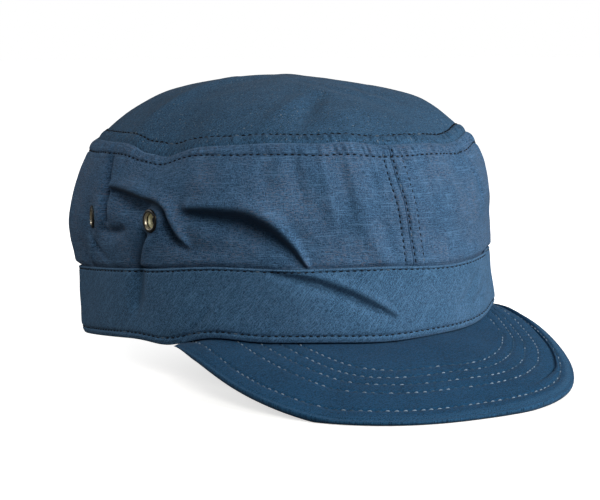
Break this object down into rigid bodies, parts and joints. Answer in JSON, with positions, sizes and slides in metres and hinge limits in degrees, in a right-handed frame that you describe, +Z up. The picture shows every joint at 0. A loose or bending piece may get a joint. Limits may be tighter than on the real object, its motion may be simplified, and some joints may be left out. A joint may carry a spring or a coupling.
{
  "type": "army cap",
  "caption": "Soft peaked cap with a domed crown, straight sides, a deep band, a stiff curved peak and metal vent eyelets, resting on a table.",
  "frame": {"origin": "on the table, under the middle of the cap's footprint", "axes": "+Z up, -Y towards the wearer's front, where the peak is, +X towards the wearer's left"},
  "size_m": [0.179, 0.2693, 0.1195],
  "materials": {
    "crown_cloth": "matt woven cotton with a fine ripstop grid, navy blue, slightly faded",
    "side_cloth": "matt woven cotton with a fine ripstop grid that runs straight, navy blue, slightly faded",
    "band_cloth": "matt woven cotton cut on the bias, navy blue",
    "peak_cloth": "smooth tightly stretched navy cotton over a stiff board, with rows of stitching",
    "eyelet_brass": "worn brass with remains of blackening"
  },
  "bodies": {
    "root": {"crown_top": "crown_cloth", "side_panel_right": "side_cloth", "side_panel_left": "side_cloth", "band": "band_cloth", "peak": "peak_cloth", "eyelet_right_front": "eyelet_brass", "eyelet_right_back": "eyelet_brass", "eyelet_left_front": "eyelet_brass", "eyelet_left_back": "eyelet_brass"}
  },
  "joints": []
}
